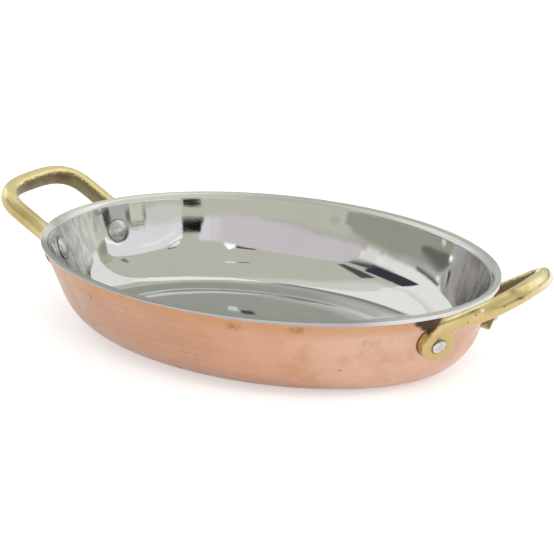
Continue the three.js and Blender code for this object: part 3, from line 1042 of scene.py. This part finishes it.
def ceiling():
    """Dome cap from a little above the horizon up, which the polished steel reflects."""
    elevations = [8] + [11 + 77 * k / 8 for k in range(9)]
    count, rows, reach = 96, len(elevations), 70
    verts = [towards(360 * j / count, elevation, reach) for elevation in elevations for j in range(count)]
    verts.append((0, 0, reach))
    faces = []
    for j in range(count):
        n = (j + 1) % count
        for k in range(rows - 1):
            faces.append((k * count + j, k * count + n, (k + 1) * count + n, (k + 1) * count + j))
        faces.append(((rows - 1) * count + j, (rows - 1) * count + n, rows * count))
    card_object("ceiling", verts, faces, count, (0.705, 0.715, 0.6))


def pairs(line):
    return zip(line, line[1:] + line[:1])


def card(name, corners, colour, feather, reach):
    """Card with a soft edge, filled with a grid of faces so that it keeps its reach."""
    outline = []
    for a, b in pairs(corners):
        a, b = Vector(a), Vector(b)
        pieces = max(1, math.ceil((b - a).length / EDGE_STEP))
        outline += [a.lerp(b, i / pieces) for i in range(pieces)]
    turns_left = sum(a.cross(b) for a, b in pairs(outline)) > 0
    outer, inner = [], []
    for before, p, after in zip(outline[-1:] + outline[:-1], outline, outline[1:] + outline[:1]):
        along = (p - before).normalized() + (after - p).normalized()
        away = Vector((along.y, -along.x)).normalized() * (feather / 2 if turns_left else -feather / 2)
        outer.append(p + away)
        inner.append(p - away)
    count = len(outline)
    flat = inner[:]
    (left, right), (low, high) = ((min(values), max(values)) for values in zip(*inner))
    for i in range(1, math.ceil((right - left) / GRID_STEP)):
        for j in range(1, math.ceil((high - low) / GRID_STEP)):
            flat.append(Vector((left + GRID_STEP * i, low + GRID_STEP * j)))
    filled = geometry.delaunay_2d_cdt(flat, [], [list(range(count))], 1, 1e-4)
    points = outer + inner + list(filled[0])
    faces = [(j, (j + 1) % count, count + (j + 1) % count, count + j) for j in range(count)]
    faces += [tuple(2 * count + i for i in face) for face in filled[2]]
    card_object(name, [towards(p[0], p[1], reach) for p in points], faces, count, colour)


# The studio round the pan, as only reflections show it: white screens, dark stands and lamps. Each
# row has a name, corners (azimuth, elevation) in degrees, a colour and the width of the soft edge.
SCREENS = [
    ("low_front", [(222, -4), (353, -4), (353, 20.3), (312, 20.9), (286, 20.6), (257, 20.4), (246, 20.4),
     (240, 18.8), (236, 15.2), (222, 13.2)], (0.73, 0.74, 0.6), 0.5),
    ("low_right", [(190, -4), (241.5, -4), (241.5, 14.8), (233, 14.6), (226.4, 13.8), (221, 13.1),
     (214, 11.2), (208, 9.4), (203, 8.1), (196, 6.4), (190, 5.2)], (0.46, 0.45, 0.37), 0.6),
    ("low_end", [(168, -4), (191, -4), (191, 5.4), (185, 5.2), (168, 5)], (0.34, 0.33, 0.31), 1.2),
    ("low_left", [(18, -4), (61, -4), (61, 5.4), (52, 8), (46, 10.4), (38, 12.2), (30, 14.2), (18, 15.4)],
     (0.78, 0.775, 0.74), 1),
    ("far_left", [(60, -4), (84, -4), (84, 4.4), (60, 6)], (0.25, 0.25, 0.19), 1),
    ("column", [(-9, -4), (19, -4), (19, 13), (14, 16), (8, 18.6), (0, 19.2), (-9, 18.9)],
     (0.62, 0.595, 0.575), 0.5),
    ("olive", [(20, 13.4), (27, 13.4), (36, 12.6), (39, 17), (38, 27), (26, 29), (20, 22)], (0.58, 0.6, 0.47),
     2),
]
FRONT_SCREENS = [
    ("glow", [(313.4, 17.6), (325, 17.6), (338, 16.6), (338.5, 20.6), (325, 21.6), (313.4, 21.8)],
     (0.87, 0.875, 0.8), 0.6),
    ("front", [(231.4, 14.6), (241, 16.2), (250, 17.5), (261, 18.2), (274, 18.6), (285.5, 19.7), (290, 20),
     (290, 26.2), (288, 27.6), (282, 27.8), (272, 29), (257, 30.5), (247, 28.5), (239, 24.5), (234.6, 19)],
     (0.86, 0.79, 0.795), 0.5),
    ("front_left", [(313.4, 21.2), (323, 21), (331, 20.7), (338, 19.9), (346, 19.5), (354, 18.9), (362, 19),
     (369, 18.7), (376, 16.6), (382, 14.8), (385, 18), (374, 26), (360, 31), (345, 32.5), (334, 30.5),
     (323, 27.2), (313.4, 24.6)], (1.09, 1.05, 1.05), 0.5),
    ("strip", [(196, 6.6), (203, 8.2), (209, 9.6), (215, 11.1), (221, 12.9), (221.5, 13.3), (214, 12),
     (208, 10.6), (202, 9.2), (196, 7.6)], (0.62, 0.59, 0.575), 0.4),
    ("block", [(341, 15.4), (350.5, 14.5), (351, 19.2), (341, 20)], (0.83, 0.85, 0.66), 0.8),
    ("pink", [(329, 16.7), (340, 15.4), (341, 16.1), (330, 17.5)], (0.74, 0.65, 0.6), 0.5),
]
WHITE_SCREENS = [
    ("right_edge", [(157, 30), (198, 30), (212, 40), (207, 54), (185, 66), (160, 70), (157, 68)],
     (0.92, 0.93, 0.83), 9),
    ("right", [(157, 5.4), (190, 5.6), (194.5, 7.1), (203, 9.8), (213, 11.9), (226, 14.2), (226.4, 17.2),
     (212, 15.4), (206, 16), (206, 30), (202, 42), (188, 51), (166, 59), (157, 61)], (1.15, 1.17, 1.08), 0.5),
    ("back", [(38, 13.6), (44, 11.2), (52, 8.6), (60, 7), (72, 14), (80, 32), (88, 48), (92, 62), (84, 71),
     (70, 68), (57, 60), (47, 50), (42, 40), (39, 27)], (1.12, 1.14, 1.06), 1.5),
    ("back_top", [(78, 62), (100, 65), (126, 66), (152, 62), (152, 71), (126, 77), (96, 76), (78, 72)],
     (1.24, 1.26, 1.18), 1.5),
    ("edge_a", [(288, 20.2), (293.5, 20.3), (293.5, 26.2), (288, 26.2)], (0.9, 0.835, 0.845), 1),
    ("edge_b", [(292.5, 20.3), (298.5, 20.5), (298.5, 26.2), (292.5, 26.2)], (0.94, 0.885, 0.9), 1),
    ("edge_c", [(297.5, 20.5), (303.2, 20.7), (303.4, 26.1), (297.5, 26.2)], (1, 0.955, 0.97), 1),
]
STANDS = [
    ("a", [(203.4, 14.8), (212, 15.7), (222, 16.9), (226.4, 17.7), (227, 24), (225, 28.5), (214, 29.6),
     (205, 29)], (0.06, 0.06, 0.08), 0.6),
    ("b", [(217, 33), (226, 30), (236, 27), (237.5, 30), (230, 35), (224, 38), (217, 41)],
     (0.11, 0.115, 0.11), 1.5),
    ("c", [(226, 17.6), (234, 19.6), (236, 21.6), (230, 22.4), (226, 22)], (0.13, 0.13, 0.12), 1),
    ("d", [(273, 28), (283, 26.8), (282, 29.4), (274, 30)], (0.12, 0.1, 0.07), 0.6),
    ("e", [(300.2, 20.7), (313.6, 21), (313, 23.2), (302.4, 23.6), (302, 22.2)], (0.012, 0.01, 0.01), 0.15),
    ("f", [(319, 28), (325, 30.2), (324, 31.4), (318, 29.4)], (0.14, 0.13, 0.12), 0.5),
    ("g", [(142, 40), (150, 41), (150, 60), (140, 58)], (0.55, 0.55, 0.55), 2),
    ("n", [(149.5, 41), (156, 41.5), (158.5, 50), (156, 61), (149.5, 61)], (0.34, 0.33, 0.31), 2),
    ("h", [(9, 33), (14.5, 32), (16, 36), (13, 43), (9, 42)], (0.42, 0.27, 0.23), 1.5),
    ("i", [(339.6, 19.45), (343.5, 19.15), (348, 18.9), (352, 18.4), (352, 18.85), (348, 19.35),
     (343.5, 19.6), (339.6, 19.95)], (0.2, 0.2, 0.15), 0.2),
    ("r", [(337.6, 16.8), (339.4, 16.6), (339.6, 19.2), (337.8, 19.3)], (0.33, 0.33, 0.29), 1),
    ("s", [(351, 15), (355, 14.9), (355.2, 17.6), (352, 18.3)], (0.24, 0.235, 0.21), 1),
    ("j", [(10.5, 11.6), (18.6, 10.9), (19, 14.4), (17, 15.4), (14, 16.2), (11.6, 15)], (0.1, 0.095, 0.075),
     0.8),
    ("k", [(24, 14.4), (33, 13.8), (34, 16.4), (28, 18.4), (24, 17)], (0.42, 0.43, 0.34), 2),
    ("p", [(301.5, 16.6), (304, 16), (312.4, 16), (312, 17.5), (307, 17.6), (303, 17.1)],
     (0.03, 0.03, 0.03), 0.4),
    ("t", [(229, 14.5), (240, 15.5), (250, 17.1), (262, 17.9), (274, 18.5), (274, 18.8), (262, 18.25),
     (250, 17.5), (240, 16), (229, 15)], (0.58, 0.58, 0.52), 0.25),
    ("u", [(243.5, 12), (247.2, 12.6), (247.4, 15.2), (244, 15)], (0.62, 0.63, 0.52), 0.5),
    ("v", [(22, 7.5), (34, 6), (34, 8.9), (28, 9.9), (22, 10.7)], (0.24, 0.21, 0.15), 0.8),
    ("l", [(194, 7.2), (201, 8.6), (208.6, 10.1), (208.4, 10.9), (201, 9.6), (194, 8.1)], (0.13, 0.13, 0.1),
     0.4),
    ("m", [(190.6, 3.2), (193.5, 3.4), (199, 4.8), (205, 6.1), (209, 7.4), (208, 8.1), (203, 7.3), (197, 6.1),
     (192, 5)], (0.19, 0.19, 0.17), 0.7),
    ("o", [(262.5, 58.4), (270.5, 59.6), (270, 61), (263, 60.2)], (0.1, 0.1, 0.1), 0.6),
    ("back", [(32, -8), (168, -8), (168, 6), (140, 8), (100, 8), (76, 7), (76, 3), (32, 3)],
     (0.09, 0.09, 0.09), 1.5),
    ("q", [(224, 13.6), (225.6, 13.9), (225.6, 14.5), (224, 14.2)], (0.74, 0.52, 0.5), 0.3),
]
LAMPS = [
    ("a", [(283, 26.4), (289.4, 26.6), (287.6, 28.6), (286, 33), (284.2, 30)], (1.6, 1.62, 1.55), 0.4),
    ("c", [(230.6, 15.6), (232.6, 16), (232.8, 17.6), (230.8, 17.2)], (1.5, 1.5, 1.4), 0.3),
    ("d", [(190.4, 2.9), (193, 3.2), (193, 4), (190.6, 3.7)], (1.6, 1.6, 1.5), 0.3),
    ("b", [(318, 22.4), (334, 24.7), (345, 24.3), (345, 25.1), (333, 25.7), (318, 23.4)], (1.26, 1.24, 1.24),
     0.6),
    ("j", [(197.4, 3), (199.8, 3.3), (199.6, 3.8), (197.6, 3.5)], (1.5, 1.5, 1.4), 0.25),
    ("k", [(194.2, 6.2), (196.6, 6.8), (196.4, 7.4), (194.4, 6.8)], (1.3, 1.3, 1.25), 0.25),
    ("e", [(313.5, 23.6), (322, 26.2), (322.4, 27), (313.5, 24.5)], (1.5, 1.5, 1.45), 0.3),
    ("f", [(316, 25.8), (322, 28.4), (321.6, 29.1), (315, 26.5)], (1.5, 1.5, 1.45), 0.3),
    ("g", [(359, 19.2), (369, 18.7), (377, 16.2), (383, 14.2), (383, 15.2), (377, 17.2), (369, 19.6),
     (359, 20)], (1.45, 1.45, 1.42), 0.3),
    ("h", [(226, 14.2), (231, 14.7), (233.4, 18.2), (226.4, 17.2)], (1.05, 1.05, 1), 0.3),
    ("i", [(271.5, 60.3), (278.5, 61.6), (277.5, 63.6), (271.5, 62.8)], (1.35, 1.35, 1.3), 0.5),
]


def reflected_studio():
    """Every card has a reach of its own, so that no two touch."""
    ceiling()
    groups = (("screen_", SCREENS, 64), ("screen_", WHITE_SCREENS, 62), ("screen_", FRONT_SCREENS, 60),
              ("stand_", STANDS, 57), ("lamp_", LAMPS, 54))
    for kind, group, reach in groups:
        for i, (name, *row) in enumerate(group):
            card(kind + name, *row, reach - 0.05 * i)


def key_light():
    data = bpy.data.lights.new("key", "AREA")
    data.shape = "RECTANGLE"
    data.size = data.size_y = 0.9
    data.energy = 4.5
    lamp = linked("key", data)
    lamp.location = (0.9, -0.5, 1)
    lamp.visible_glossy = False
    lamp.rotation_mode = "QUATERNION"
    lamp.rotation_quaternion = (-lamp.location).to_track_quat("-Z", "Y")


studio()
floor()
reflected_studio()
key_light()


def photo_camera():
    """The photo's view: a pinhole at its place, with the lens given by the focal length in pixels."""
    azimuth, elevation, roll = (math.radians(v) for v in (36.136, 19.179, -0.721))
    target = (-0.035132, 0.054635, 0)
    distance = 1.0
    focal_pixels, picture_pixels = 2611, 554
    data = bpy.data.cameras.new("camera")
    data.sensor_width = 36
    data.lens = focal_pixels / picture_pixels * data.sensor_width
    data.shift_x, data.shift_y = 0.00064, 0.00386
    data.clip_start, data.clip_end = 0.05, 20
    camera = linked("camera", data)
    turn = Matrix.Rotation(azimuth, 4, "Z") @ Matrix.Rotation(math.pi / 2 - elevation, 4, "X")
    turn = turn @ Matrix.Rotation(roll, 4, "Z")
    camera.matrix_world = Matrix.Translation(target) @ turn @ Matrix.Translation((0, 0, distance))
    bpy.context.scene.camera = camera


photo_camera()
bpy.context.scene.view_settings.view_transform = "Standard"
